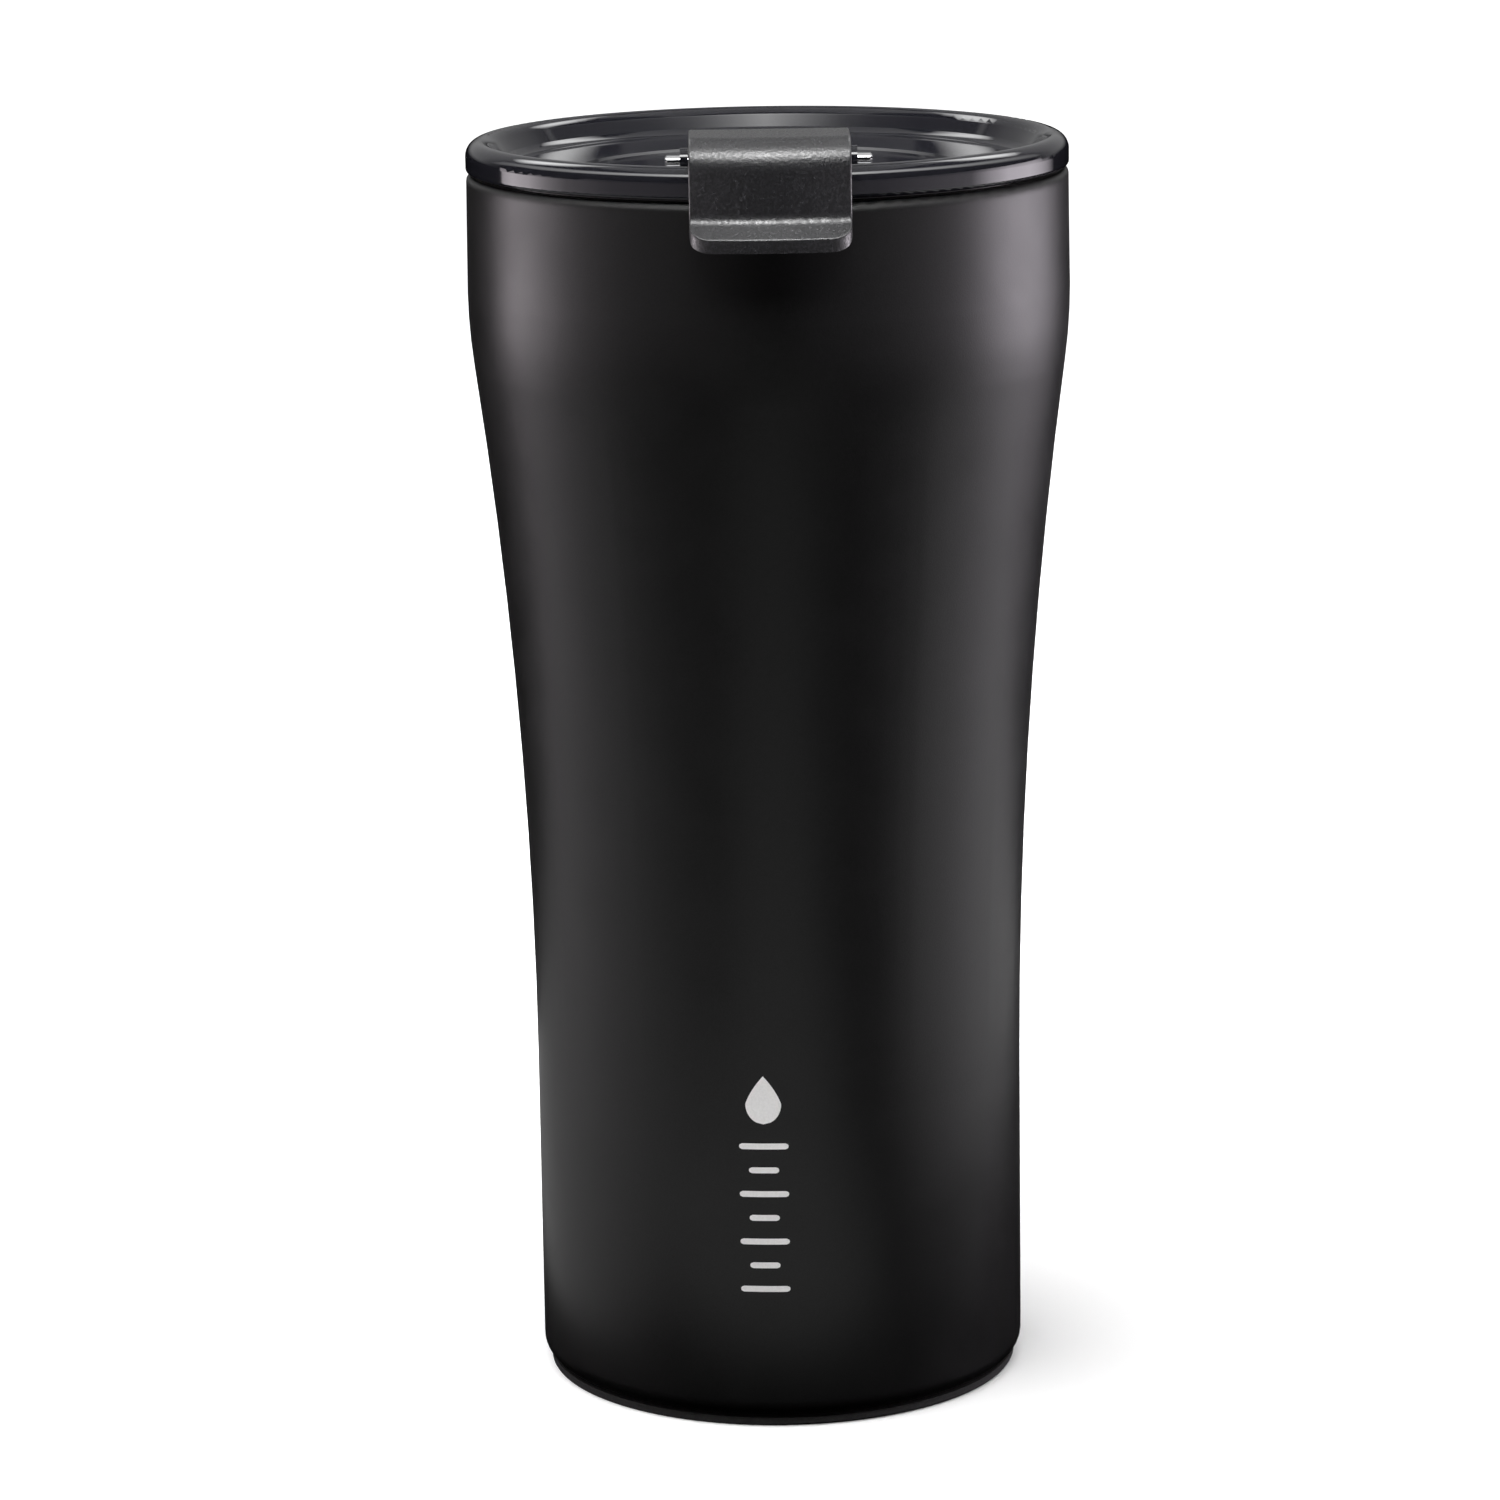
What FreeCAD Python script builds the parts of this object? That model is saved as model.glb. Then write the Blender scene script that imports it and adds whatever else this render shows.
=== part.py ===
import FreeCAD, Part
import math
import os
import re

import Sketcher

# Insulated travel mug: a vacuum-walled steel cup, a press-in lid and a flip-up
# drinking tab. Millimetres, +Z up, origin at the middle of the base on the table,
# the tab towards -Y.

SIZES = {
    # outer steel shell
    "shell_base_rad": 36.3,
    "shell_wall": 0.6,
    "shell_foot_level": 1.5,
    "shell_corner_rad": 2.4,
    "shell_curl_rad": 28.0,
    "straight_level": 47.5,
    "flare_rad": 791.0,
    "knee_offset": 43.3,
    "knee_level": 152.5,
    "knee_rad": 82.0,
    "belly_offset": 44.03,
    "belly_level": 163.4,
    "shoulder_offset": 43.85,
    "lip_level": 180.5,
    "lip_round": 0.9,
    # inner steel liner
    "vacuum_gap": 2.2,
    "liner_wall": 0.6,
    "liner_floor_level": 9.5,
    "liner_floor_round": 8.0,
    # radiation shield wrapped on the liner
    "foil_gauge": 0.12,
    "foil_start_level": 19.0,
    # pressed disc that closes the bottom of the shell
    "disc_rad": 33.2,
    "disc_gauge": 0.6,
    "disc_slope_rad": 27.8,
    "disc_rise": 2.3,
    "disc_dimple_rad": 3.6,
    "disc_dimple_rise": 0.5,
    "vent_port_rad": 1.0,
    # getter on the disc
    "getter_place": 12.0,
    "holder_rad": 5.0,
    "holder_gauge": 0.4,
    "holder_lip_rad": 4.2,
    "pellet_rad": 4.5,
    "pellet_gauge": 1.5,
    # bead that seals the evacuation port
    "bead_rad": 3.2,
    "bead_drop": 0.9,
    "bead_neck": 0.4,
    # base pad and its glue ring
    "pad_rad": 35.2,
    "pad_gauge": 1.3,
    "pad_edge_round": 0.4,
    "pad_groove_inner": 22.0,
    "pad_groove_outer": 30.5,
    "pad_groove_width": 0.9,
    "pad_groove_depth": 0.35,
    "glue_inner_rad": 28.6,
    "glue_outer_rad": 33.4,
    # lid
    "lid_rad": 43.9,
    "lid_foot_level": 180.9,
    "lid_foot_round": 0.6,
    "lid_crest_level": 185.4,
    "lid_edge_round": 2.2,
    "lid_crest_offset": 41.5,
    "lid_wall_top_offset": 39.8,
    "lid_wall_top_level": 184.3,
    "lid_wall_foot_offset": 38.6,
    "lid_wall_foot_level": 182.6,
    "lid_wall_round": 2.8,
    "dish_edge_offset": 36.5,
    "dish_edge_level": 181.6,
    "dish_step_offset": 28.3,
    "dish_step_rise": 0.4,
    "dish_level": 180.4,
    "lid_gauge": 2.0,
    "flange_level": 180.7,
    "flange_rad": 42.4,
    "skirt_outer_rad": 39.2,
    "skirt_inner_rad": 37.0,
    "skirt_end_level": 168.5,
    "skirt_bevel": 0.5,
    "seal_groove_rad": 38.2,
    "seal_groove_start": 170.5,
    "seal_groove_height": 3.5,
    "drink_hole_half": 7.0,
    "drink_hole_near": 31.0,
    "drink_hole_far": 36.0,
    "drink_hole_round": 2.0,
    "breather_rad": 0.75,
    "breather_place": 12.0,
    # seal
    "seal_root_rad": 39.4,
    "seal_fin_rad": 40.5,
    "seal_fin_margin": 0.5,
    "seal_fin_pitch": 1.8,
    "seal_fin_gauge": 0.6,
    "seal_fin_rise": 0.35,
    "seal_fin_tip": 0.35,
    # hinge
    "pin_place": 25.0,
    "pin_level": 184.4,
    "pin_rad": 1.0,
    "pin_half": 14.6,
    "pin_bevel": 0.25,
    "ear_bore_rad": 1.01,
    "ear_rad": 2.0,
    "ear_start": 11.4,
    "ear_gauge": 1.1,
    # drinking tab
    "tab_half": 11.25,
    "tab_top_level": 189.5,
    "tab_under_level": 186.6,
    "tab_face_rad": 45.9,
    "tab_leg_rad": 44.3,
    "tab_shoulder_round": 4.5,
    "tab_inner_round": 1.3,
    "tab_flare_level": 179.4,
    "tab_flare_round": 2.0,
    "tab_lip_slope": 32.0,
    "tab_lip_rad": 49.2,
    "tab_lip_face": 1.9,
    "tab_lip_corner": 3.5,
    "tab_foot_corner": 2.0,
    "tab_join": 35.0,
    "tab_slope_place": 30.5,
    "tab_under_place": 30.0,
    "tab_hub_rad": 2.4,
    "hub_under_angle": 40.2,
    "hub_top_angle": 65.9,
    "tab_bore_rad": 1.05,
    "tab_rim_round": 0.4,
    "boss_half": 5.4,
    "boss_near": 32.4,
    "boss_far": 34.6,
    "boss_level": 183.4,
    "boss_round": 0.8,
    # stopper
    "sleeve_half": 6.3,
    "sleeve_near": 31.5,
    "sleeve_far": 35.5,
    "sleeve_round": 1.6,
    "collar_half": 7.3,
    "collar_near": 30.6,
    "collar_far": 36.2,
    "collar_round": 2.2,
    "collar_level": 181.75,
    "collar_gauge": 0.85,
    "plug_half": 6.6,
    "plug_near": 31.4,
    "plug_far": 35.5,
    "plug_round": 1.7,
    "plug_level": 179.6,
    "plug_taper": 5.0,
    "plug_end_round": 0.5,
}

FUNCTIONS = {"sqrt", "sin", "cos", "tan", "asin", "atan", "deg"}

os.makedirs("parts", exist_ok=True)
doc = FreeCAD.newDocument("travel_mug")
sizes = doc.addObject("Spreadsheet::Sheet", "sizes")
for row, (alias, value) in enumerate(SIZES.items(), start=1):
    sizes.set(f"A{row}", alias)
    sizes.set(f"B{row}", str(value))
    sizes.setAlias(f"B{row}", alias)
doc.recompute()


# ---------------------------------------------------------------- small helpers
def linked(text):
    """Return text as an expression that reads the sheet: wall -> sizes.wall."""

    def prefix(match):
        word = match.group(0)
        return word if word in FUNCTIONS else "sizes." + word

    return re.sub(r"[a-z_]+", prefix, str(text))


def number(text):
    """Evaluate a sheet expression to a plain float."""
    value = sizes.evalExpression(linked(text))
    return float(getattr(value, "Value", value))


def bind(thing, prop, text):
    thing.setExpression(prop, linked(text))


def new_body(name, place=(0, 0, 0)):
    body = doc.addObject("PartDesign::Body", name)
    body.Label = name
    body.Placement = FreeCAD.Placement(FreeCAD.Vector(*place), FreeCAD.Rotation())
    return body


def origin_feature(body, role):
    return next(f for f in body.Origin.OriginFeatures if f.Role == role)


def new_sketch(body, name, role, offset="0"):
    """Sketch on one of the body's own planes, moved along its normal by offset."""
    sketch = body.newObject("Sketcher::SketchObject", name)
    sketch.AttachmentSupport = [(origin_feature(body, role), "")]
    sketch.MapMode = "FlatFace"
    sketch.AttachmentOffset.Base.z = number(offset)
    bind(sketch, "AttachmentOffset.Base.z", offset)
    return sketch


def pin_down(sketch, geo, pos, across, up):
    """Dimension one vertex from the sketch origin, both ways."""
    for kind, text in (("DistanceX", across), ("DistanceY", up)):
        value = number(text)
        if abs(value) < 1e-9:
            axis = -2 if kind == "DistanceX" else -1
            sketch.addConstraint(Sketcher.Constraint("PointOnObject", geo, pos, axis))
        elif value > 0:
            index = sketch.addConstraint(Sketcher.Constraint(kind, -1, 1, geo, pos, value))
            bind(sketch, f"Constraints[{index}]", text)
        else:
            index = sketch.addConstraint(Sketcher.Constraint(kind, geo, pos, -1, 1, -value))
            bind(sketch, f"Constraints[{index}]", f"-({text})")


def draw_loop(sketch, corners):
    """Closed outline. Each corner is (across, up) or (across, up, bend): bend is the
    radius of the arc to the next corner, negative when that arc turns clockwise."""
    points = [FreeCAD.Vector(number(c[0]), number(c[1]), 0) for c in corners]
    ends = []
    for i, corner in enumerate(corners):
        start = points[i]
        stop = points[(i + 1) % len(points)]
        if len(corner) == 2:
            geo = sketch.addGeometry(Part.LineSegment(start, stop), False)
            ends.append((geo, 1, 2))
            continue
        turn = -1 if str(corner[2]).startswith("-") else 1
        size = str(corner[2]).lstrip("-")
        radius = number(size)
        half = stop.sub(start).multiply(0.5)
        rise = math.sqrt(max(radius * radius - half.Length * half.Length, 0.0))
        side = FreeCAD.Vector(-half.y, half.x, 0).normalize().multiply(turn * rise)
        centre = start.add(half).add(side)
        first, last = (start, stop) if turn > 0 else (stop, start)
        circle = Part.Circle(centre, FreeCAD.Vector(0, 0, 1), radius)
        low = math.atan2(first.y - centre.y, first.x - centre.x)
        high = math.atan2(last.y - centre.y, last.x - centre.x)
        geo = sketch.addGeometry(Part.ArcOfCircle(circle, low, high), False)
        ends.append((geo, 1, 2) if turn > 0 else (geo, 2, 1))
        index = sketch.addConstraint(Sketcher.Constraint("Radius", geo, radius))
        bind(sketch, f"Constraints[{index}]", size)
    for i, (geo, start_pos, stop_pos) in enumerate(ends):
        following, next_start, _ = ends[(i + 1) % len(ends)]
        sketch.addConstraint(
            Sketcher.Constraint("Coincident", geo, stop_pos, following, next_start)
        )
        pin_down(sketch, geo, start_pos, corners[i][0], corners[i][1])


def draw_circle(sketch, across, up, radius):
    centre = FreeCAD.Vector(number(across), number(up), 0)
    circle = Part.Circle(centre, FreeCAD.Vector(0, 0, 1), number(radius))
    geo = sketch.addGeometry(circle, False)
    index = sketch.addConstraint(Sketcher.Constraint("Radius", geo, number(radius)))
    bind(sketch, f"Constraints[{index}]", radius)
    pin_down(sketch, geo, 3, across, up)


def draw_slot_box(sketch, half, near, far, rounding):
    """Round-cornered box: half its width each side of x = 0, between -far and -near."""
    draw_loop(
        sketch,
        [
            (f"-({half}) + {rounding}", f"-({far})"),
            (f"{half} - {rounding}", f"-({far})", rounding),
            (half, f"-({far}) + {rounding}"),
            (half, f"-({near}) - {rounding}", rounding),
            (f"{half} - {rounding}", f"-({near})"),
            (f"-({half}) + {rounding}", f"-({near})", rounding),
            (f"-({half})", f"-({near}) - {rounding}"),
            (f"-({half})", f"-({far}) + {rounding}", rounding),
        ],
    )


def mirrored(corners):
    """The same outline on the other side of the upright axis."""
    flipped = []
    for across, up, *bend in corners:
        turned = [size[1:] if size.startswith("-") else "-" + size for size in bend]
        flipped.append((f"-({across})", up, *turned))
    return flipped


def revolve(body, name, corners, role="XZ_Plane", degrees=360):
    """Turn an outline drawn as (radius, level) about the body's Z axis."""
    sketch = new_sketch(body, name + "_outline", role)
    draw_loop(sketch, corners)
    turned = body.newObject("PartDesign::Revolution", name)
    turned.Profile = sketch
    turned.ReferenceAxis = (sketch, ["V_Axis"])
    turned.Angle = degrees
    return turned


def groove(body, name, corners):
    sketch = new_sketch(body, name + "_outline", "XZ_Plane")
    draw_loop(sketch, corners)
    cut = body.newObject("PartDesign::Groove", name)
    cut.Profile = sketch
    cut.ReferenceAxis = (sketch, ["V_Axis"])
    cut.Angle = 360
    return cut


def extrude(body, kind, name, sketch, length, both_ways=False, backwards=False):
    feature = body.newObject("PartDesign::" + kind, name)
    feature.Profile = sketch
    feature.Length = number(length)
    bind(feature, "Length", length)
    feature.Midplane = both_ways
    feature.Reversed = backwards
    return feature


def edges_where(feature, test):
    """Names of the feature's edges whose inner sampled points all pass the test."""
    names = []
    for i, edge in enumerate(feature.Shape.Edges, start=1):
        if all(test(p) for p in edge.discretize(7)[1:-1]):
            names.append(f"Edge{i}")
    return names


def dress(body, kind, name, base, edges, size, prop):
    feature = body.newObject("PartDesign::" + kind, name)
    feature.Base = (base, edges)
    bind(feature, prop, size)
    return feature


def wall_point(inset):
    """Where the flare meets the knee on a surface lying inset inside the shell."""
    lean = "((knee_level - straight_level) / flare_rad)"
    across = f"knee_offset - ({inset}) * sqrt(1 - {lean} * {lean})"
    up = f"knee_level + ({inset}) * {lean}"
    return across, up


# ------------------------------------------------------------------ vacuum cup
liner_out = "shell_wall + vacuum_gap"
liner_in = "shell_wall + vacuum_gap + liner_wall"
foot = "shell_foot_level"
corner = "shell_corner_rad"

outer_shell = new_body("outer_shell")
revolve(
    outer_shell,
    "shell_skin",
    [
        ("shell_curl_rad", foot),
        (f"shell_base_rad - {corner}", foot, corner),
        ("shell_base_rad", f"{foot} + {corner}"),
        ("shell_base_rad", "straight_level", "-flare_rad"),
        ("knee_offset", "knee_level", "knee_rad"),
        ("belly_offset", "belly_level"),
        ("shoulder_offset", "lip_level - lip_round", "lip_round"),
        ("shoulder_offset - lip_round", "lip_level"),
        ("shoulder_offset - lip_round", "lip_level - shell_wall", "-(lip_round - shell_wall)"),
        ("shoulder_offset - shell_wall", "lip_level - lip_round"),
        ("belly_offset - shell_wall", "belly_level", "-(knee_rad - shell_wall)"),
        (*wall_point("shell_wall"), "flare_rad + shell_wall"),
        ("shell_base_rad - shell_wall", "straight_level"),
        ("shell_base_rad - shell_wall", f"{foot} + {corner}", f"-({corner} - shell_wall)"),
        (f"shell_base_rad - {corner}", f"{foot} + shell_wall"),
        ("shell_curl_rad", f"{foot} + shell_wall"),
    ],
)

inner_liner = new_body("inner_liner")
cup_rad = f"shell_base_rad - ({liner_in})"
mouth_rad = f"belly_offset - ({liner_in})"
floor_round_out = "liner_floor_round + liner_wall"
revolve(
    inner_liner,
    "liner_skin",
    [
        ("0", "liner_floor_level - liner_wall"),
        (f"{cup_rad} - liner_floor_round", "liner_floor_level - liner_wall", floor_round_out),
        (f"shell_base_rad - ({liner_out})", "liner_floor_level + liner_floor_round"),
        (f"shell_base_rad - ({liner_out})", "straight_level", f"-(flare_rad + {liner_out})"),
        (*wall_point(liner_out), f"knee_rad - ({liner_out})"),
        (f"belly_offset - ({liner_out})", "belly_level"),
        (f"{mouth_rad} + liner_wall", "lip_level - lip_round", "-(lip_round - liner_wall)"),
        (f"{mouth_rad} + lip_round", "lip_level - liner_wall"),
        ("shoulder_offset - lip_round", "lip_level - liner_wall"),
        ("shoulder_offset - lip_round", "lip_level"),
        (f"{mouth_rad} + lip_round", "lip_level", "lip_round"),
        (mouth_rad, "lip_level - lip_round"),
        (mouth_rad, "belly_level", f"-(knee_rad - ({liner_in}))"),
        (*wall_point(liner_in), f"flare_rad + {liner_in}"),
        (cup_rad, "straight_level"),
        (cup_rad, "liner_floor_level + liner_floor_round", "-liner_floor_round"),
        (f"{cup_rad} - liner_floor_round", "liner_floor_level"),
        ("0", "liner_floor_level"),
    ],
)

copper_foil = new_body("copper_foil")
foil_out = f"{liner_out} - foil_gauge"
revolve(
    copper_foil,
    "foil_wrap",
    [
        (f"shell_base_rad - ({liner_out})", "foil_start_level"),
        (f"shell_base_rad - ({foil_out})", "foil_start_level"),
        (f"shell_base_rad - ({foil_out})", "straight_level", f"-(flare_rad + {foil_out})"),
        wall_point(foil_out),
        (*wall_point(liner_out), f"flare_rad + {liner_out}"),
        (f"shell_base_rad - ({liner_out})", "straight_level"),
    ],
)

shell_base_disc = new_body("shell_base_disc")
disc_level = f"{foot} + shell_wall"
raised = f"{disc_level} + disc_rise"
dimple = f"{raised} + disc_dimple_rise"
# a 45 degree wall keeps its gauge when its corners shift by gauge x tan 22.5
shift = "disc_gauge * tan(22.5deg)"
revolve(
    shell_base_disc,
    "disc_pressing",
    [
        ("disc_slope_rad", disc_level),
        ("disc_rad", disc_level),
        ("disc_rad", f"{disc_level} + disc_gauge"),
        (f"disc_slope_rad + {shift}", f"{disc_level} + disc_gauge"),
        (f"disc_slope_rad - disc_rise + {shift}", f"{raised} + disc_gauge"),
        (f"disc_dimple_rad + disc_dimple_rise + {shift}", f"{raised} + disc_gauge"),
        (f"disc_dimple_rad + {shift}", f"{dimple} + disc_gauge"),
        ("vent_port_rad", f"{dimple} + disc_gauge"),
        ("vent_port_rad", dimple),
        ("disc_dimple_rad", dimple),
        ("disc_dimple_rad + disc_dimple_rise", raised),
        ("disc_slope_rad - disc_rise", raised),
    ],
)

vacuum_seal_bead = new_body("vacuum_seal_bead")
# a shallow dome: radius from its half width and its drop
dome = "((bead_rad * bead_rad + bead_drop * bead_drop) / (2 * bead_drop))"
revolve(
    vacuum_seal_bead,
    "bead_dome",
    [
        ("0", f"{dimple} - bead_drop", dome),
        ("bead_rad", dimple),
        ("vent_port_rad", dimple),
        ("vent_port_rad", f"{dimple} + bead_neck"),
        ("0", f"{dimple} + bead_neck"),
    ],
)

getter_seat = (0, number("getter_place"), number(f"{raised} + disc_gauge"))
getter_holder = new_body("getter_holder", getter_seat)
pellet_top = "holder_gauge + pellet_gauge"
revolve(
    getter_holder,
    "holder_tray",
    [
        ("0", "0"),
        ("holder_rad", "0"),
        ("holder_rad", f"{pellet_top} + holder_gauge"),
        ("holder_lip_rad", f"{pellet_top} + holder_gauge"),
        ("holder_lip_rad", pellet_top),
        ("holder_rad - holder_gauge", pellet_top),
        ("holder_rad - holder_gauge", "holder_gauge"),
        ("0", "holder_gauge"),
    ],
)

getter_pellet = new_body("getter_pellet", getter_seat)
revolve(
    getter_pellet,
    "pellet_disc",
    [
        ("0", "holder_gauge"),
        ("pellet_rad", "holder_gauge"),
        ("pellet_rad", pellet_top),
        ("0", pellet_top),
    ],
)

base_pad = new_body("base_pad")
revolve(
    base_pad,
    "pad_disc",
    [
        ("0", "0"),
        ("pad_rad - pad_edge_round", "0", "pad_edge_round"),
        ("pad_rad", "pad_edge_round"),
        ("pad_rad", "pad_gauge"),
        ("0", "pad_gauge"),
    ],
)
for ring in ("pad_groove_inner", "pad_groove_outer"):
    groove(
        base_pad,
        ring + "_cut",
        [
            (ring, "0"),
            (f"{ring} + pad_groove_width", "0"),
            (f"{ring} + pad_groove_width", "pad_groove_depth"),
            (ring, "pad_groove_depth"),
        ],
    )

pad_adhesive = new_body("pad_adhesive")
revolve(
    pad_adhesive,
    "glue_ring",
    [
        ("glue_inner_rad", "pad_gauge"),
        ("glue_outer_rad", "pad_gauge"),
        ("glue_outer_rad", foot),
        ("glue_inner_rad", foot),
    ],
)

# ------------------------------------------------------------------------- lid
lid_body = new_body("lid_body")
under = "dish_level - lid_gauge"
groove_end = "seal_groove_start + seal_groove_height"
lid_blank = revolve(
    lid_body,
    "lid_blank",
    [
        ("0", under),
        ("dish_step_offset", under),
        ("skirt_inner_rad", f"{under} + dish_edge_level - dish_level - dish_step_rise"),
        ("skirt_inner_rad", "skirt_end_level"),
        ("skirt_outer_rad - skirt_bevel", "skirt_end_level"),
        ("skirt_outer_rad", "skirt_end_level + skirt_bevel"),
        ("skirt_outer_rad", "seal_groove_start"),
        ("seal_groove_rad", "seal_groove_start"),
        ("seal_groove_rad", groove_end),
        ("skirt_outer_rad", groove_end),
        ("skirt_outer_rad", "flange_level"),
        ("flange_rad", "flange_level"),
        ("flange_rad", "lid_foot_level"),
        ("lid_rad - lid_foot_round", "lid_foot_level", "lid_foot_round"),
        ("lid_rad", "lid_foot_level + lid_foot_round"),
        ("lid_rad", "lid_crest_level - lid_edge_round", "lid_edge_round"),
        ("lid_rad - lid_edge_round", "lid_crest_level"),
        ("lid_crest_offset", "lid_crest_level", "lid_edge_round"),
        ("lid_wall_top_offset", "lid_wall_top_level"),
        ("lid_wall_foot_offset", "lid_wall_foot_level", "-lid_wall_round"),
        ("dish_edge_offset", "dish_edge_level"),
        ("dish_step_offset", "dish_level + dish_step_rise"),
        ("dish_step_offset - dish_step_rise / 2", "dish_level"),
        ("0", "dish_level"),
    ],
)

ear_sketch = new_sketch(lid_body, "ear_outline", "YZ_Plane", "ear_start")
draw_loop(
    ear_sketch,
    [
        ("-pin_place - ear_rad", f"{under} + lid_gauge / 2"),
        ("-pin_place + ear_rad", f"{under} + lid_gauge / 2"),
        ("-pin_place + ear_rad", "pin_level", "ear_rad"),
        ("-pin_place", "pin_level + ear_rad", "ear_rad"),
        ("-pin_place - ear_rad", "pin_level"),
    ],
)
ear = extrude(lid_body, "Pad", "hinge_ear", ear_sketch, "ear_gauge")
ears = lid_body.newObject("PartDesign::Mirrored", "hinge_ear_pair")
ears.Originals = [ear]
ears.MirrorPlane = (origin_feature(lid_body, "YZ_Plane"), [""])
lid_body.Tip = ears

bore_sketch = new_sketch(lid_body, "ear_bore_outline", "YZ_Plane")
draw_circle(bore_sketch, "-pin_place", "pin_level", "ear_bore_rad")
extrude(lid_body, "Pocket", "ear_bores", bore_sketch, "4 * pin_half", both_ways=True)

hole_sketch = new_sketch(lid_body, "drink_hole_outline", "XY_Plane", "pin_level")
draw_slot_box(
    hole_sketch, "drink_hole_half", "drink_hole_near", "drink_hole_far", "drink_hole_round"
)
extrude(lid_body, "Pocket", "drink_hole", hole_sketch, f"pin_level - ({under}) + lid_gauge")

breather_sketch = new_sketch(lid_body, "breather_outline", "XY_Plane", "pin_level")
draw_circle(breather_sketch, "0", "-breather_place", "breather_rad")
extrude(lid_body, "Pocket", "breather", breather_sketch, f"pin_level - ({under}) + lid_gauge")

lid_seal = new_body("lid_seal")
fin_corners = []
for fin in (0, 1):
    root = f"seal_groove_start + seal_fin_margin + {fin} * seal_fin_pitch"
    fin_corners += [
        ("seal_root_rad", root),
        ("seal_fin_rad", f"{root} + seal_fin_rise"),
        ("seal_fin_rad", f"{root} + seal_fin_rise + seal_fin_tip"),
        ("seal_root_rad", f"{root} + seal_fin_gauge"),
    ]
revolve(
    lid_seal,
    "seal_ring",
    [
        ("seal_groove_rad", "seal_groove_start"),
        ("seal_root_rad", "seal_groove_start"),
        *fin_corners,
        ("seal_root_rad", groove_end),
        ("seal_groove_rad", groove_end),
    ],
)

hinge_pin = new_body("hinge_pin")
pin_sketch = new_sketch(hinge_pin, "pin_outline", "YZ_Plane")
draw_circle(pin_sketch, "-pin_place", "pin_level", "pin_rad")
rod = extrude(hinge_pin, "Pad", "pin_rod", pin_sketch, "2 * pin_half", both_ways=True)
doc.recompute()
rod_ends = edges_where(rod, lambda p: abs(abs(p.x) - number("pin_half")) < 1e-4)
dress(hinge_pin, "Chamfer", "pin_ends", rod, rod_ends, "pin_bevel", "Size")

# ------------------------------------------------------------------------- tab
drink_tab = new_body("drink_tab")
slope = "tab_lip_slope * 1deg"
flare_across = f"tab_face_rad + tab_flare_round * (1 - sin({slope}))"
flare_up = f"tab_flare_level - tab_flare_round * cos({slope})"
lip_top = f"{flare_up} - (tab_lip_rad - ({flare_across})) * tan({slope})"
lip_foot = f"{lip_top} - tab_lip_face"
leg_foot = f"{lip_foot} + (tab_lip_rad - tab_leg_rad) * tan({slope})"
front_corners = [
    ("tab_join", "tab_under_level"),
    ("tab_leg_rad - tab_inner_round", "tab_under_level", "-tab_inner_round"),
    ("tab_leg_rad", "tab_under_level - tab_inner_round"),
    ("tab_leg_rad", leg_foot),
    ("tab_lip_rad", lip_foot),
    ("tab_lip_rad", lip_top),
    (flare_across, flare_up, "-tab_flare_round"),
    ("tab_face_rad", "tab_flare_level"),
    ("tab_face_rad", "tab_top_level - tab_shoulder_round", "tab_shoulder_round"),
    ("tab_face_rad - tab_shoulder_round", "tab_top_level"),
    ("tab_join", "tab_top_level"),
]
tab_front = revolve(
    drink_tab, "tab_front", mirrored(front_corners), role="YZ_Plane", degrees=60
)
tab_front.Midplane = True

# the arm leaves the hub at two points: one low on its front, one near its top
under_turn = "hub_under_angle * 1deg"
top_turn = "hub_top_angle * 1deg"
arm_sketch = new_sketch(drink_tab, "arm_outline", "YZ_Plane")
draw_loop(
    arm_sketch,
    [
        ("-tab_join - 1", "tab_under_level"),
        ("-tab_under_place", "tab_under_level"),
        (
            f"-pin_place - tab_hub_rad * cos({under_turn})",
            f"pin_level - tab_hub_rad * sin({under_turn})",
        ),
        ("-pin_place", "pin_level"),
        (
            f"-pin_place + tab_hub_rad * cos({top_turn})",
            f"pin_level + tab_hub_rad * sin({top_turn})",
        ),
        ("-tab_slope_place", "tab_top_level"),
        ("-tab_join - 1", "tab_top_level"),
    ],
)
extrude(drink_tab, "Pad", "tab_arm", arm_sketch, "2 * tab_half", both_ways=True)

hub_sketch = new_sketch(drink_tab, "hub_outline", "YZ_Plane")
draw_circle(hub_sketch, "-pin_place", "pin_level", "tab_hub_rad")
extrude(drink_tab, "Pad", "tab_hub", hub_sketch, "2 * tab_half", both_ways=True)

boss_sketch = new_sketch(drink_tab, "boss_outline", "XY_Plane", "boss_level")
draw_slot_box(boss_sketch, "boss_half", "boss_near", "boss_far", "boss_round")
extrude(drink_tab, "Pad", "stopper_boss", boss_sketch, "tab_top_level - 1 - boss_level")

tab_bore_sketch = new_sketch(drink_tab, "tab_bore_outline", "YZ_Plane")
draw_circle(tab_bore_sketch, "-pin_place", "pin_level", "tab_bore_rad")
extrude(drink_tab, "Pocket", "tab_bore", tab_bore_sketch, "4 * tab_half", both_ways=True)

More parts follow.
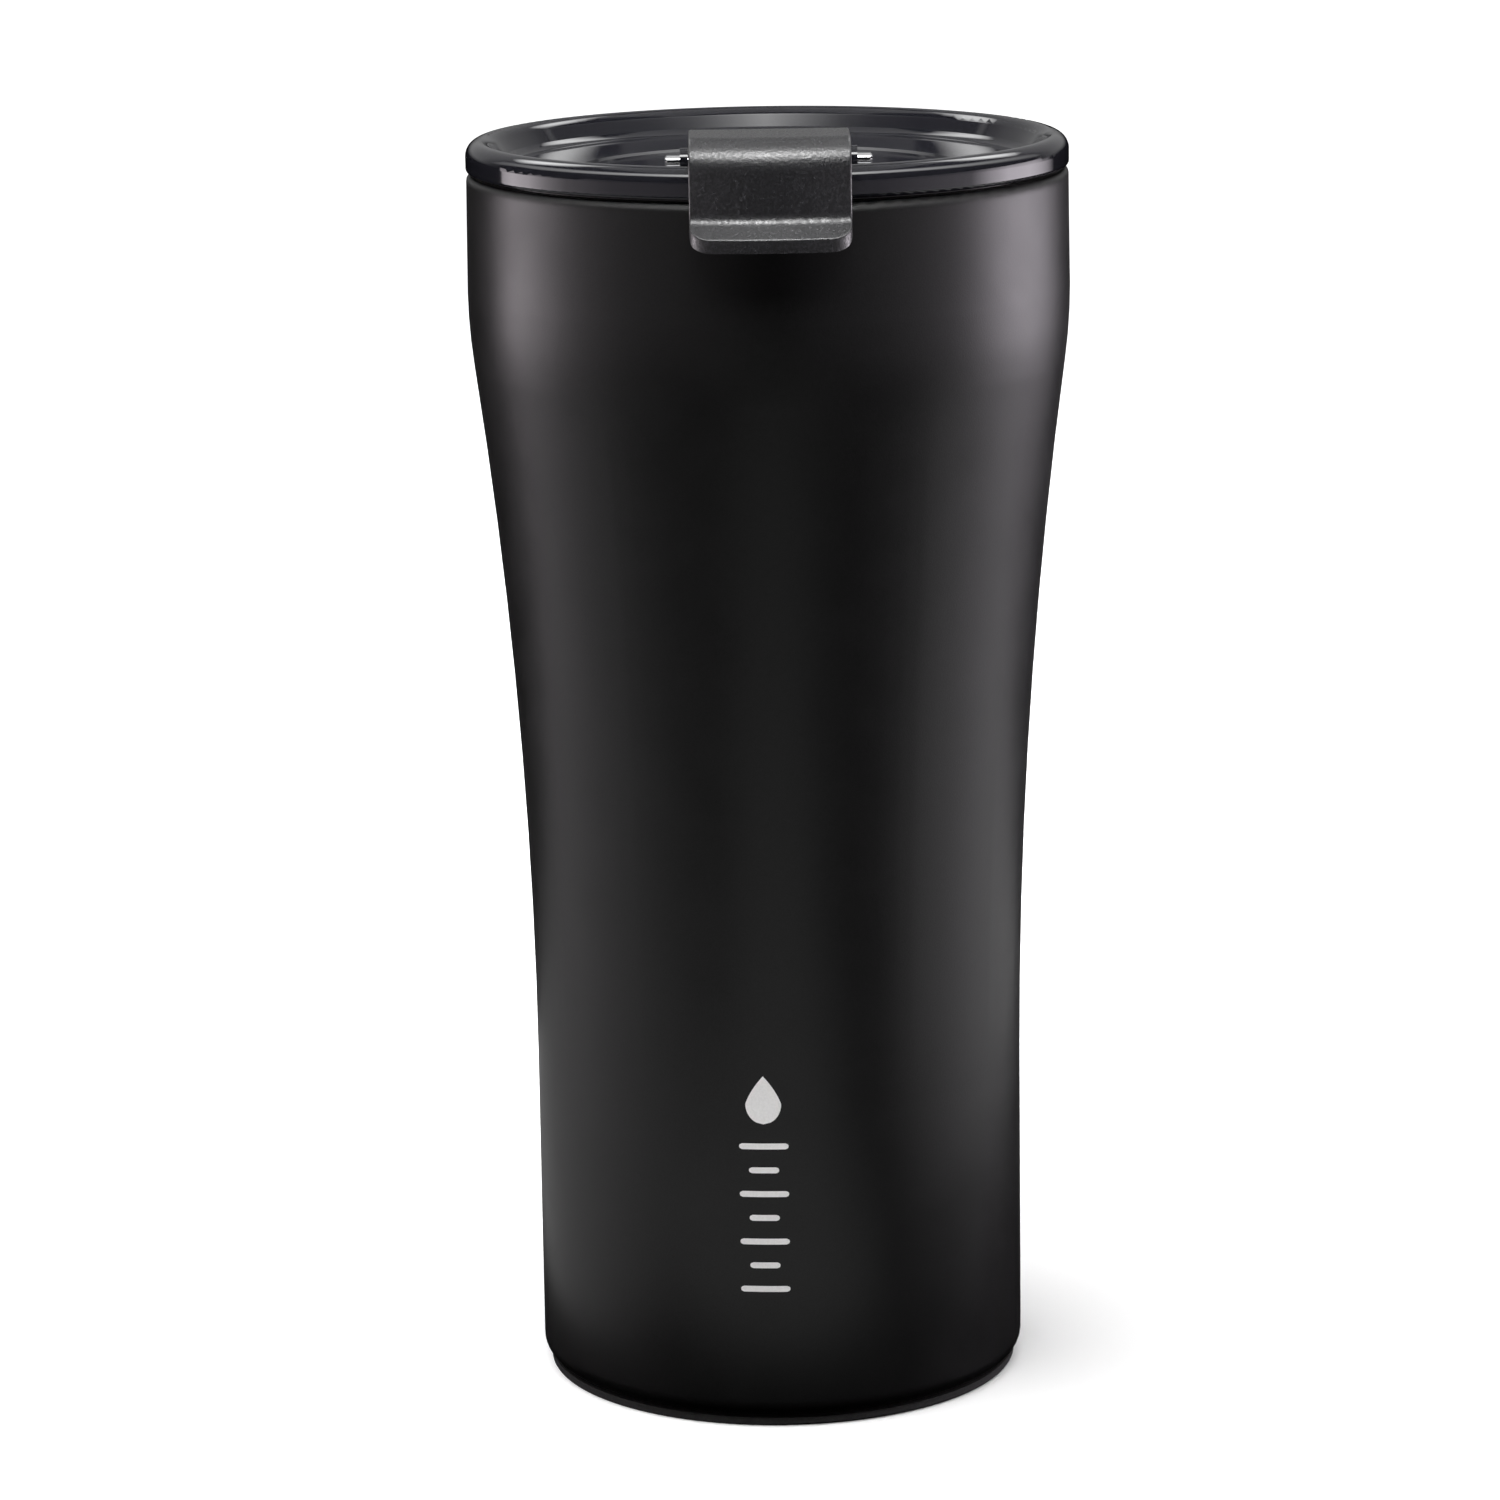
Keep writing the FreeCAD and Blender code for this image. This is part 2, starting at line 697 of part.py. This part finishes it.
# round the finger lip's two corners seen from above, clear of the tab's face
lip_centre = "tab_half - tab_lip_corner"
lip_reach = f"sqrt((tab_lip_rad - tab_lip_corner)^2 - ({lip_centre})^2)"
lip_scale = "tab_lip_rad / (tab_lip_rad - tab_lip_corner)"
lip_sketch = new_sketch(drink_tab, "lip_corner_outline", "XY_Plane", "tab_top_level")
lip_corners = [
    (f"({lip_centre}) * {lip_scale}", f"-({lip_reach}) * {lip_scale}", "tab_lip_corner"),
    ("tab_half", f"-({lip_reach})"),
    ("tab_half + 2", f"-({lip_reach})"),
    ("tab_half + 2", "-tab_lip_rad - 1"),
    (f"({lip_centre}) * {lip_scale}", "-tab_lip_rad - 1"),
]
draw_loop(lip_sketch, lip_corners)
draw_loop(lip_sketch, mirrored(lip_corners))
extrude(drink_tab, "Pocket", "lip_corners", lip_sketch, "tab_lip_rad")

# square the sides, then round the two lower corners
side_sketch = new_sketch(drink_tab, "side_outline", "XZ_Plane")
side_corners = [
    ("tab_lip_rad", "tab_top_level + 1"),
    ("tab_lip_rad", f"{lip_foot} - 1"),
    ("tab_half - tab_foot_corner", f"{lip_foot} - 1"),
    ("tab_half - tab_foot_corner", lip_foot, "tab_foot_corner"),
    ("tab_half", f"{lip_foot} + tab_foot_corner"),
    ("tab_half", "tab_top_level + 1"),
]
draw_loop(side_sketch, side_corners)
draw_loop(side_sketch, mirrored(side_corners))
trim = extrude(drink_tab, "Pocket", "tab_sides", side_sketch, "4 * tab_lip_rad", both_ways=True)
doc.recompute()

face_rad = number("tab_face_rad")
flare_level = number("tab_flare_level")
flare_round = number("tab_flare_round")
flare_end = number(flare_across)


def skin_level(from_axis):
    """Level of the tab's outer skin below its upright face."""
    if from_axis < flare_end:
        reach = face_rad + flare_round - from_axis
        return flare_level - math.sqrt(flare_round**2 - reach**2)
    return number(f"{lip_top} + (tab_lip_rad - {from_axis}) * tan({slope})")


def on_outer_rim(point):
    """True along the border of the outer skin: its two sides and the finger lip."""
    from_axis = math.hypot(point.x, point.y)
    if point.z > flare_level:
        outer = from_axis > face_rad - 1e-3 or point.z > number("tab_under_level")
        return outer and abs(abs(point.x) - number("tab_half")) < 1e-4
    beyond_face = from_axis > face_rad + 1e-3 and abs(from_axis - flare_end) > 1e-3
    return beyond_face and abs(point.z - skin_level(from_axis)) < 1e-3


rims = edges_where(trim, on_outer_rim)
dress(drink_tab, "Fillet", "tab_rims", trim, rims, "tab_rim_round", "Radius")

tab_stopper = new_body("tab_stopper")
collar_sketch = new_sketch(tab_stopper, "collar_outline", "XY_Plane", "collar_level")
draw_slot_box(collar_sketch, "collar_half", "collar_near", "collar_far", "collar_round")
extrude(tab_stopper, "Pad", "collar", collar_sketch, "collar_gauge")

sleeve_sketch = new_sketch(tab_stopper, "sleeve_outline", "XY_Plane", "tab_under_level")
draw_slot_box(sleeve_sketch, "sleeve_half", "sleeve_near", "sleeve_far", "sleeve_round")
extrude(
    tab_stopper, "Pad", "sleeve", sleeve_sketch, "tab_under_level - collar_level", backwards=True
)

plug_sketch = new_sketch(tab_stopper, "plug_outline", "XY_Plane", "collar_level")
draw_slot_box(plug_sketch, "plug_half", "plug_near", "plug_far", "plug_round")
plug = extrude(
    tab_stopper, "Pad", "plug", plug_sketch, "collar_level - plug_level", backwards=True
)
plug.TaperAngle = -number("plug_taper")
bind(plug, "TaperAngle", "-plug_taper")

socket_sketch = new_sketch(tab_stopper, "socket_outline", "XY_Plane", "tab_under_level")
draw_slot_box(socket_sketch, "boss_half", "boss_near", "boss_far", "boss_round")
socket = extrude(tab_stopper, "Pocket", "socket", socket_sketch, "tab_under_level - boss_level")
doc.recompute()
plug_end = edges_where(socket, lambda p: abs(p.z - number("plug_level")) < 1e-4)
dress(tab_stopper, "Fillet", "plug_end", socket, plug_end, "plug_end_round", "Radius")

# ---------------------------------------------------------------------- export
doc.recompute()
for item in doc.Objects:
    if "Invalid" in item.State or "Error" in item.State:
        raise RuntimeError(f"{item.Name} did not build")
for item in doc.Objects:
    if not item.isDerivedFrom("PartDesign::Body"):
        continue
    if item.Shape.isNull() or not item.Shape.isValid() or len(item.Shape.Solids) != 1:
        raise RuntimeError(f"{item.Label} is not one sound solid")
    item.Shape.exportStep(f"parts/{item.Label}.step")
    print(f"{item.Label}: {item.Shape.Volume / 1000:.2f} cm3")
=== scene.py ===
import math

import bmesh
import bpy
from mathutils import Matrix, Vector


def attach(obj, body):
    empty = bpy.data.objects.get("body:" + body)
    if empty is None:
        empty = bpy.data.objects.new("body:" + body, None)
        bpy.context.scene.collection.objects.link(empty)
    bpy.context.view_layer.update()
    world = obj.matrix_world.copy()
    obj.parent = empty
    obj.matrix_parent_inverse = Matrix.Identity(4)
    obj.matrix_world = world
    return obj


MM = 0.001
UP = Vector((0.0, 0.0, 1.0))
WHITE = (1.0, 1.0, 1.0)
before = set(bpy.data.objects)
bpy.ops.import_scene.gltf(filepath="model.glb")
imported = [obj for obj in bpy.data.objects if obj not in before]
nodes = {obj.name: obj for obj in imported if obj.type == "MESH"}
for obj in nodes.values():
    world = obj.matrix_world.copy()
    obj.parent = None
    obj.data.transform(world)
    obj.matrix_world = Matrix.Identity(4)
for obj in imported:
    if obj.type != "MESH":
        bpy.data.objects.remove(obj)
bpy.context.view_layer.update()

# ------------------------------------------------------------------ materials
BLEND_SAMPLES = 6


class Shader:
    """A node material with one Principled shader and object coordinates.

    The first colour and roughness hold wherever no texture drives them.
    """

    def __init__(self, name, colour, roughness, metallic=0.0, **sockets):
        self.material = bpy.data.materials.new(name)
        self.material.use_nodes = True
        self.tree = self.material.node_tree
        self.bsdf = self.tree.nodes["Principled BSDF"]
        self.set("Base Color", (*colour, 1.0))
        self.set("Roughness", roughness)
        self.set("Metallic", metallic)
        for socket, value in sockets.items():
            self.set(socket.replace("_", " "), value)
        self.place = self.add("ShaderNodeTexCoord").outputs["Object"]

    def set(self, socket, value):
        self.bsdf.inputs[socket].default_value = value

    def add(self, kind, **values):
        node = self.tree.nodes.new(kind)
        for key, value in values.items():
            if key in node.inputs:
                node.inputs[key].default_value = value
            else:
                setattr(node, key, value)
        return node

    def link(self, source, target):
        self.tree.links.new(source, target)

    def noise(self, size_mm, detail=2.0, stretch=None):
        """Noise whose features are about size_mm across."""
        source = self.place
        if stretch:
            mapping = self.add("ShaderNodeMapping", Scale=stretch)
            self.link(source, mapping.inputs["Vector"])
            source = mapping.outputs["Vector"]
        scale = 1.0 / (size_mm * MM)
        texture = self.add("ShaderNodeTexNoise", Detail=detail, Scale=scale)
        self.link(source, texture.inputs["Vector"])
        return texture.outputs["Fac"]

    def ramp(self, factor, low, high, start=0.3, stop=0.7):
        """Map a factor running from start to stop onto the values low to high."""
        node = self.add("ShaderNodeMapRange")
        node.inputs["From Min"].default_value = start
        node.inputs["From Max"].default_value = stop
        node.inputs["To Min"].default_value = low
        node.inputs["To Max"].default_value = high
        self.link(factor, node.inputs["Value"])
        return node.outputs["Result"]

    def vary_colour(self, factor, low, high, start=0.35, stop=0.65):
        node = self.add("ShaderNodeValToRGB")
        ends = node.color_ramp.elements
        for end, position, colour in zip(ends, (start, stop), (low, high)):
            end.position = position
            end.color = (*colour, 1.0)
        self.link(factor, node.inputs["Fac"])
        self.link(node.outputs["Color"], self.bsdf.inputs["Base Color"])

    def vary_roughness(self, factor, low, high):
        self.link(self.ramp(factor, low, high), self.bsdf.inputs["Roughness"])

    def bumps(self, *layers, blend_mm=0.0):
        """Each layer is (factor, height in mm); blend_mm evens out facet seams."""
        normal = None
        if blend_mm:
            even = self.add("ShaderNodeBevel", samples=BLEND_SAMPLES)
            even.inputs["Radius"].default_value = blend_mm * MM
            normal = even.outputs["Normal"]
        for factor, height in layers:
            node = self.add("ShaderNodeBump", Distance=height * MM, Strength=1.0)
            self.link(factor, node.inputs["Height"])
            if normal:
                self.link(normal, node.inputs["Normal"])
            normal = node.outputs["Normal"]
        self.link(normal, self.bsdf.inputs["Normal"])


def powder_coat():
    shader = Shader("powder_coat", (0.003, 0.003, 0.003), roughness=0.355)
    grain = shader.noise(size_mm=0.22, detail=3.0)
    patches = shader.noise(size_mm=9.0, detail=3.0)
    shader.vary_colour(grain, (0.0012, 0.0012, 0.0012), (0.0045, 0.0045, 0.0046))
    shader.vary_roughness(patches, 0.335, 0.375)
    shader.bumps((grain, 0.010), blend_mm=1.5)
    return shader.material


def smoke_plastic():
    shader = Shader("smoke_plastic", (0.0125, 0.0125, 0.016), roughness=0.06, IOR=1.5)
    haze = shader.noise(size_mm=14.0, detail=4.0)
    shader.vary_roughness(haze, 0.045, 0.085)
    waves = shader.noise(size_mm=22.0)
    shader.bumps((waves, 0.012))
    return shader.material


def grained_plastic():
    shader = Shader("grained_plastic", (0.02, 0.02, 0.022), roughness=0.35, IOR=1.75)
    grain = shader.noise(size_mm=0.45)
    pores = shader.noise(size_mm=0.18)
    dark, pale = (0.004, 0.004, 0.005), (0.035, 0.035, 0.038)
    shader.vary_colour(grain, dark, pale, start=0.42, stop=0.72)
    shader.vary_roughness(grain, 0.46, 0.25)
    shader.bumps((grain, 0.05), (pores, 0.01))
    return shader.material


def metal(name, colour, low, high, stretch=None, size_mm=0.4):
    """Bare metal with brushed roughness between low and high."""
    shader = Shader(name, colour, roughness=low, metallic=1.0)
    lines = shader.noise(size_mm, detail=3.0, stretch=stretch)
    shader.vary_roughness(lines, low, high)
    shader.bumps((lines, 0.002))
    return shader.material


def soft(name, colour, roughness):
    """Plain rubber, film or powder, mottled with paler spots."""
    shader = Shader(name, colour, roughness)
    mottling = shader.noise(size_mm=0.5, detail=3.0)
    shader.vary_colour(mottling, colour, tuple(1.6 * channel for channel in colour))
    shader.bumps((mottling, 0.01))
    return shader.material


def liner_coat():
    shader = Shader("liner_coat", (0.80, 0.79, 0.76), roughness=0.22)
    speckle = shader.noise(size_mm=3.0, detail=4.0)
    shader.vary_colour(speckle, (0.76, 0.75, 0.72), (0.84, 0.83, 0.80))
    waves = shader.noise(size_mm=6.0)
    shader.bumps((waves, 0.01))
    return shader.material


FINISHES = {
    "outer_shell": powder_coat(),
    "lid_body": smoke_plastic(),
    "drink_tab": grained_plastic(),
    "hinge_pin": metal("polished_steel", (0.75, 0.75, 0.76), 0.08, 0.14),
    "inner_liner": liner_coat(),
    "shell_base_disc": metal("pressed_steel", (0.56, 0.56, 0.57), 0.28, 0.4),
    "getter_holder": metal("holder_steel", (0.50, 0.50, 0.51), 0.3, 0.45),
    "copper_foil": metal(
        "copper_foil", (0.80, 0.42, 0.28), 0.2, 0.35, stretch=(1, 1, 0.1), size_mm=2.0
    ),
    "getter_pellet": soft("getter_alloy", (0.10, 0.10, 0.105), 0.8),
    "vacuum_seal_bead": soft("solder_glass", (0.06, 0.075, 0.08), 0.15),
    "base_pad": soft("pad_rubber", (0.014, 0.014, 0.014), 0.75),
    "pad_adhesive": soft("adhesive", (0.45, 0.43, 0.36), 0.6),
    "lid_seal": soft("seal_silicone", (0.03, 0.03, 0.032), 0.55),
    "tab_stopper": soft("stopper_silicone", (0.035, 0.035, 0.038), 0.55),
}
for name, finish in FINISHES.items():
    slots = nodes[name].data.materials
    slots.clear()
    slots.append(finish)

# ----------------------------------------------------------------- front mark
# a generic printed fill gauge, a droplet over rungs, wrapped on the outer wall;
# sizes and levels in mm, the heading in degrees round the mug
FOOT_RADIUS = 36.3
INK_THICKNESS = 0.03
MARK_HEADING = -4.3
RUNG_COUNT = 7
RUNG_PITCH = 3.6
RUNG_HEIGHT = 0.9
LOWEST_RUNG = 21.0
LONG_RUNG = 7.2
SHORT_RUNG = 4.4
DROPLET_FOOT = 46.4
DROPLET_TOP = 53.6
DROPLET_RADIUS = 2.6
DROPLET_BULGE = 0.45
WIDEST = 0.42  # share of the droplet's height
NARROWEST = 0.02  # so that no face shrinks to nothing
RAY_START = 0.1  # metres, well outside the wall


def on_wall(slide, level):
    """The point just off the outer wall, slide mm round from the mark's middle."""
    turn = math.radians(MARK_HEADING) + slide / FOOT_RADIUS
    outward = Vector((math.sin(turn), -math.cos(turn), 0.0))
    start = outward * RAY_START + Vector((0.0, 0.0, level * MM))
    hit, wall, *_ = nodes["outer_shell"].ray_cast(start, -outward)
    if not hit:
        raise RuntimeError("the mark misses the outer wall")
    return wall + outward * INK_THICKNESS * MM


def grid_faces(mesh, grid):
    """Join neighbouring rows of vertices with four-sided faces."""
    for lower, upper in zip(grid, grid[1:]):
        for j in range(len(lower) - 1):
            mesh.faces.new((lower[j], lower[j + 1], upper[j + 1], upper[j]))


def printed_shape(shape, low, high, half_width, rows, columns=10):
    """Fill one mirror-symmetric shape: half_width(0..1 up the shape) gives mm."""
    grid = []
    for i in range(rows + 1):
        part = i / rows
        level = low + (high - low) * part
        reach = half_width(part)
        slides = [reach * (2.0 * j / columns - 1.0) for j in range(columns + 1)]
        grid.append([shape.verts.new(on_wall(slide, level)) for slide in slides])
    grid_faces(shape, grid)


def rung(width):
    """Half width of a bar with round ends."""

    def half_width(part):
        bow = math.sqrt(max(0.0, 1.0 - (2 * part - 1) ** 2))
        return width / 2.0 - RUNG_HEIGHT / 2.0 * (1.0 - bow)

    return half_width


def droplet(part):
    """Half width: round below the widest level, drawn to a point above it."""
    if part < WIDEST:
        below = (WIDEST - part) / WIDEST
        return DROPLET_RADIUS * max(NARROWEST, math.sqrt(1.0 - below**2))
    above = (part - WIDEST) / (1.0 - WIDEST)
    return max(NARROWEST, DROPLET_RADIUS * (1.0 - above) * (1.0 + DROPLET_BULGE * above))


mark_mesh = bpy.data.meshes.new("front_mark")
shape = bmesh.new()
for step in range(RUNG_COUNT):
    foot = LOWEST_RUNG + RUNG_PITCH * step
    width = SHORT_RUNG if step % 2 else LONG_RUNG
    printed_shape(shape, foot, foot + RUNG_HEIGHT, rung(width), rows=6)
printed_shape(shape, DROPLET_FOOT, DROPLET_TOP, droplet, rows=28)
shape.to_mesh(mark_mesh)
shape.free()
mark = bpy.data.objects.new("front_mark", mark_mesh)
bpy.context.collection.objects.link(mark)
ink = Shader("pale_ink", (0.88, 0.87, 0.86), roughness=0.5)
ink.vary_colour(ink.noise(size_mm=0.3), (0.86, 0.85, 0.84), (0.92, 0.91, 0.90))
ink.bumps((ink.noise(size_mm=0.15), 0.004))
mark_mesh.materials.append(ink.material)
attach(mark, "cup")

# ---------------------------------------------------------------------- stage
FLOOR_LEVEL = -0.0001  # just under the base pad, so that the two share no plane
FLOOR_REACH = 6.0
# painted shadow: the paper's own glow is lowered round this spot, right of the mug
PAINTED_SHADOW_SPOT = (0.03, 0.0, 0.0)
PAINTED_SHADOW_RADIUS, FULL_RADIUS = 0.01, 0.16
PAINTED_SHADOW_GLOW, FULL_GLOW = 0.1, 1.2

floor_mesh = bpy.data.meshes.new("floor")
shape = bmesh.new()
bmesh.ops.create_grid(shape, x_segments=1, y_segments=1, size=FLOOR_REACH)
bmesh.ops.translate(shape, verts=shape.verts, vec=(0.0, 0.0, FLOOR_LEVEL))
shape.to_mesh(floor_mesh)
shape.free()
floor = bpy.data.objects.new("floor", floor_mesh)
bpy.context.collection.objects.link(floor)
paper = Shader("floor_paper", (0.62, 0.62, 0.62), roughness=0.9)
paper.vary_colour(paper.noise(size_mm=300.0), (0.61, 0.61, 0.61), (0.63, 0.63, 0.63))
# the sheet glows by itself, least round a spot just right of the mug's foot: a painted
# shadow there, which joins the lights' own soft shadow, while the rest stays white
paper.set("Emission Color", (*WHITE, 1.0))
span = paper.add("ShaderNodeVectorMath", operation="DISTANCE")
span.inputs[1].default_value = PAINTED_SHADOW_SPOT
paper.link(paper.place, span.inputs[0])
glow = paper.ramp(span.outputs["Value"], PAINTED_SHADOW_GLOW, FULL_GLOW, PAINTED_SHADOW_RADIUS, FULL_RADIUS)
paper.link(glow, paper.bsdf.inputs["Emission Strength"])
floor_mesh.materials.append(paper.material)

world = bpy.data.worlds.new("studio")
bpy.context.scene.world = world
world.use_nodes = True
backdrop = world.node_tree.nodes["Background"]
backdrop.inputs["Color"].default_value = (*WHITE, 1.0)

# floor and backdrop are only for the camera: the studio lights alone light the mug
for ray in ("diffuse", "glossy", "transmission"):
    setattr(floor, "visible_" + ray, False)
    setattr(world.cycles_visibility, ray, False)

# --------------------------------------------------------------------- lights
# places and sizes in metres, headings and climbs in degrees; white paper glows 1
HEADING_STEP = 2
LID_LEVEL = 0.185
AIM_LEVEL = 0.18
TABLE_LEVEL = 0.0005


def round_the_mug(heading, distance, height):
    """Point at a compass heading: 0 = in front, 90 = to the right."""
    turn = math.radians(heading)
    return Vector((distance * math.sin(turn), -distance * math.cos(turn), height))


def glow_sheet(name, rows, tint=WHITE):
    """Light cloth, unseen by the camera, from rows of (point, glow)."""
    mesh = bpy.data.meshes.new(name)
    cloth = bmesh.new()
    glow_layer = cloth.verts.layers.float.new("glow")
    grid = []
    for row in rows:
        corners = [cloth.verts.new(point) for point, _ in row]
        for corner, (_, glow) in zip(corners, row):
            corner[glow_layer] = glow
        grid.append(corners)
    grid_faces(cloth, grid)
    cloth.to_mesh(mesh)
    cloth.free()
    sheet = bpy.data.objects.new(name, mesh)
    bpy.context.collection.objects.link(sheet)
    sheet.visible_camera = False
    finish = Shader(name, (0.0, 0.0, 0.0), roughness=1.0)
    finish.set("Emission Color", (*tint, 1.0))
    glow_map = finish.add("ShaderNodeAttribute", attribute_name="glow")
    finish.link(glow_map.outputs["Fac"], finish.bsdf.inputs["Emission Strength"])
    mesh.materials.append(finish.material)


def headings(glows):
    """Every few degrees from the first to the last of the (heading, glow) pairs."""
    return range(glows[0][0], glows[-1][0] + HEADING_STEP, HEADING_STEP)


def brightness_at(glows, heading):
    """Straight lines between the (heading, glow) pairs."""
    for (start, first), (stop, last) in zip(glows, glows[1:]):
        if start <= heading <= stop:
            return first + (last - first) * (heading - start) / (stop - start)
    return 0.0


def curved_panel(name, distance, glows, heights, tint=WHITE):
    """Diffuser bent round the mug; heights lists (height, share of the brightness)."""
    rows = []
    for height, share in heights:
        row = []
        for heading in headings(glows):
            place = round_the_mug(heading, distance, height)
            row.append((place, share * brightness_at(glows, heading)))
        rows.append(row)
    glow_sheet(name, rows, tint)


def hoop(name, distance, glows, band, lift, droop):
    """Arch of light over the lid, as seen from the lid.

    It climbs lift degrees in front and droop times heading squared less elsewhere;
    band lists (climb from its middle, share of the brightness) across it.
    """
    rows = []
    for spread, share in band:
        row = []
        for heading in headings(glows):
            climb = math.radians(lift - droop * heading**2 + spread)
            place = round_the_mug(heading, distance * math.cos(climb), LID_LEVEL)
            place.z += distance * math.sin(climb)
            row.append((place, share * brightness_at(glows, heading)))
        rows.append(row)
    glow_sheet(name, rows)


def edge_to_edge(half_count):
    """Even shares from -1 at one edge to 1 at the other."""
    return [i / half_count for i in range(-half_count, half_count + 1)]


def soft_box(name, heading, distance, height, width, tall, glow):
    """Flat cloth turned to the mug, brightest in its middle and fading to its edges."""
    centre = round_the_mug(heading, distance, height)
    ahead = (Vector((0.0, 0.0, AIM_LEVEL)) - centre).normalized()
    sideways = ahead.cross(UP).normalized()
    upwards = sideways.cross(ahead)
    rows = []
    for rise in edge_to_edge(4):
        row = []
        for slide in edge_to_edge(6):
            point = centre + sideways * slide * width / 2.0 + upwards * rise * tall / 2.0
            row.append((point, glow * (1.0 - slide**2) * (1.0 - rise**2)))
        rows.append(row)
    glow_sheet(name, rows)


def flat_light(name, place, width, depth, glow, downwards=False):
    """Level rectangle of even brightness, facing up from the table or down."""
    light = bpy.data.lights.new(name, "AREA")
    light.shape = "RECTANGLE"
    light.size = width
    light.size_y = depth
    light.energy = glow * math.pi * width * depth
    holder = bpy.data.objects.new(name, light)
    bpy.context.collection.objects.link(holder)
    holder.location = place
    holder.rotation_euler = (0.0 if downwards else math.pi, 0.0, 0.0)
    holder.visible_camera = False


# side panels, faintly rose on the left and violet on the right
PANEL_DISTANCE = 0.7
PANEL_HEIGHTS = [(0.0, 1.05), (0.08, 1.0), (0.16, 0.75), (0.25, 0.45)]
LEFT_TINT = (1.0, 0.92, 0.97)
LEFT_GLOW = [
    (-118, 2.8), (-110, 5.0), (-100, 4.8), (-90, 2.6),
    (-80, 1.2), (-60, 0.5), (-40, 0.35), (-10, 0.2),
]
RIGHT_TINT = (0.99, 0.92, 1.0)
RIGHT_GLOW = [
    (10, 0.2), (40, 0.35), (80, 1.2), (90, 4.6),
    (100, 6.6), (114, 5.2), (124, 2.8), (136, 0.0),
]
curved_panel("left_panel", PANEL_DISTANCE, LEFT_GLOW, PANEL_HEIGHTS, LEFT_TINT)
curved_panel("right_panel", PANEL_DISTANCE, RIGHT_GLOW, PANEL_HEIGHTS, RIGHT_TINT)

# the light that draws the bright band on the dish's far wall
HOOP_GLOW = [
    (-130, 0.5), (-94, 3.5), (-54, 8.0), (-20, 16.0), (0, 22.0),
    (20, 16.0), (54, 8.0), (94, 3.5), (130, 0.5),
]
HOOP_BAND = [(-12, 0.0), (-6, 0.7), (0, 1.0), (6, 0.7), (12, 0.0)]
hoop("lid_hoop", 0.85, HOOP_GLOW, HOOP_BAND, lift=57.0, droop=0.0022)

BACK_GLOW = [(120, 0.0), (140, 0.35), (220, 0.35), (240, 0.0)]
BACK_HEIGHTS = [(0.2, 0.0), (0.3, 1.0), (0.9, 1.0), (1.1, 0.0)]
curved_panel("back_high", 0.9, BACK_GLOW, BACK_HEIGHTS)
for name, heading in (("back_left", -142), ("back_right", 142)):
    soft_box(name, heading, distance=0.6, height=0.72, width=0.4, tall=0.3, glow=7.0)

flat_light("ceiling", (0.0, 0.3, 1.3), 1.2, 1.2, glow=0.7, downwards=True)
flat_light("table_front", (0.0, -0.20, TABLE_LEVEL), 0.14, 0.26, glow=0.5)
flat_light("table_left", (-0.25, 0.0, TABLE_LEVEL), 0.38, 0.36, glow=0.42)
flat_light("table_right", (0.29, 0.03, TABLE_LEVEL), 0.28, 0.36, glow=0.75)

# --------------------------------------------------------------------- camera
PITCH = math.radians(12.57)
YAW = math.radians(-0.2725)
ROLL = math.radians(-0.833)
AROUND = math.radians(-0.5)
CAMERA_PLACE = (0.0, -0.785, 0.2688)
FOCAL_LENGTH = 129.4
SENSOR_WIDTH = 36.0
NEAREST_SEEN = 0.01

forward = Vector(
    (math.sin(YAW) * math.cos(PITCH), math.cos(YAW) * math.cos(PITCH), -math.sin(PITCH))
)
rightward = forward.cross(UP).normalized()
upward = rightward.cross(forward)
across = math.cos(ROLL) * rightward + math.sin(ROLL) * upward
above = -math.sin(ROLL) * rightward + math.cos(ROLL) * upward
lens = bpy.data.cameras.new("camera")
lens.lens = FOCAL_LENGTH
lens.sensor_width = SENSOR_WIDTH
lens.clip_start = NEAREST_SEEN
camera = bpy.data.objects.new("camera", lens)
bpy.context.collection.objects.link(camera)
spin = Matrix((across, above, -forward)).transposed()
stand = Matrix.Rotation(AROUND, 4, "Z")
camera.matrix_world = stand @ Matrix.Translation(CAMERA_PLACE) @ spin.to_4x4()
bpy.context.scene.camera = camera
bpy.context.scene.view_settings.view_transform = "Standard"

# ----------------------------------------------------------------------- update
bpy.context.view_layer.update()
